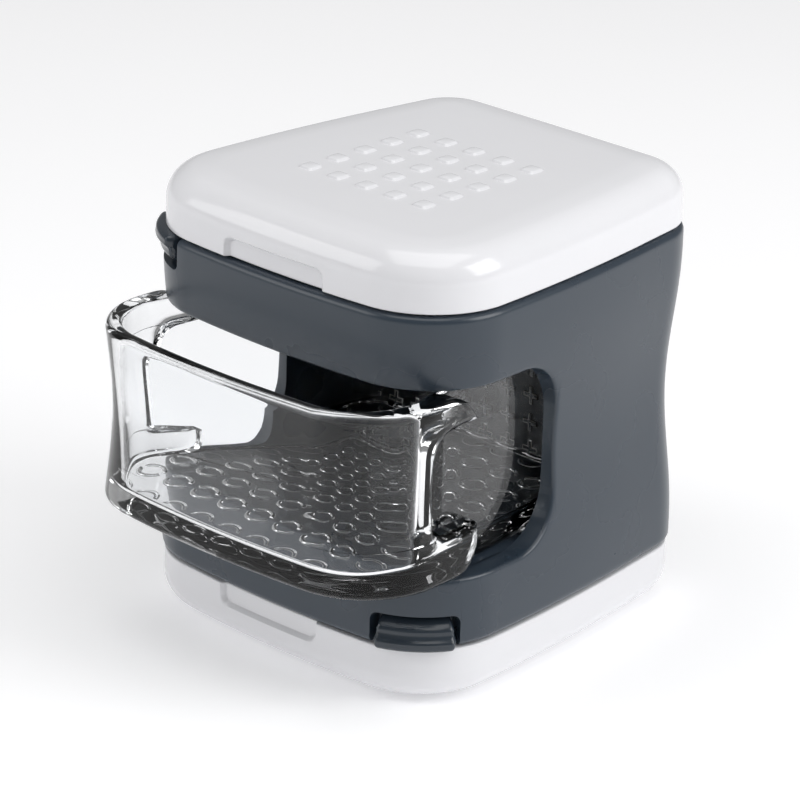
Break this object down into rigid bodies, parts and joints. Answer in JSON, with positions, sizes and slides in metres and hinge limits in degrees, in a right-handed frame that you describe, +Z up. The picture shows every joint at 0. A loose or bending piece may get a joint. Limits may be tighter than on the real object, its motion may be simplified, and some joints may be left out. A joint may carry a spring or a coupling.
{
  "type": "pill splitter",
  "caption": "Two-ended desktop pill splitter: waisted casing, hinged lid at each end, dicing grid, splitting blade and a clear sliding catch drawer.",
  "frame": {"origin": "on the surface it stands on, under the middle of the pattern of raised squares on the top lid", "axes": "X is the width, -Y is the drawer side, +Z is up"},
  "size_m": [0.0766, 0.0969, 0.0854],
  "materials": {
    "casing_abs": "moulded ABS, semi-gloss slate grey",
    "latch_abs": "moulded ABS, gloss dark slate grey",
    "lid_abs": "moulded ABS, polished white",
    "insert_abs": "moulded ABS, satin charcoal",
    "liner_abs": "moulded ABS, satin light grey",
    "clear_polystyrene": "crystal clear moulded polystyrene",
    "blade_steel": "ground stainless steel",
    "screw_steel": "zinc plated steel"
  },
  "bodies": {
    "body": {"casing": "casing_abs", "top_well": "insert_abs", "top_well_screws": "screw_steel", "dicing_frame": "insert_abs", "dicing_blades_x": "blade_steel", "dicing_blades_y": "blade_steel", "split_tray": "insert_abs", "split_tray_screws": "screw_steel", "top_hinge_pin": "screw_steel", "bottom_hinge_pin": "screw_steel", "top_latch_spring": "screw_steel", "bottom_latch_spring": "screw_steel"},
    "upper_lid": {"top_lid": "lid_abs", "presser": "liner_abs", "presser_screws": "screw_steel"},
    "lower_lid": {"bottom_lid": "lid_abs", "blade_holder": "liner_abs", "split_blade": "blade_steel", "blade_holder_screws": "screw_steel"},
    "tray": {"drawer": "clear_polystyrene"},
    "upper_button": {"top_latch": "latch_abs"},
    "lower_button": {"bottom_latch": "latch_abs"}
  },
  "joints": [
    {"name": "top_lid_hinge", "type": "hinge", "parent": "body", "child": "upper_lid", "pos_m": [0, 0.0415, 0.0694], "axis": [-1, 0, 0], "range_deg": [0, 100]},
    {"name": "bottom_lid_hinge", "type": "hinge", "parent": "body", "child": "lower_lid", "pos_m": [0, 0.0415, 0.016], "axis": [1, 0, 0], "range_deg": [0, 100]},
    {"name": "drawer_slide", "type": "slide", "parent": "body", "child": "tray", "axis": [0, -1, 0], "range_m": [-0.0152, 0.04]},
    {"name": "top_latch_press", "type": "slide", "parent": "body", "child": "upper_button", "axis": [0.6494, 0.7604, 0], "range_m": [0, 0.0012], "stiffness_N_per_m": 300, "springref_m": -0.001, "deforming": ["top_latch_spring"]},
    {"name": "bottom_latch_press", "type": "slide", "parent": "body", "child": "lower_button", "axis": [-0.6494, 0.7604, 0], "range_m": [0, 0.0012], "stiffness_N_per_m": 300, "springref_m": -0.001, "deforming": ["bottom_latch_spring"]}
  ]
}
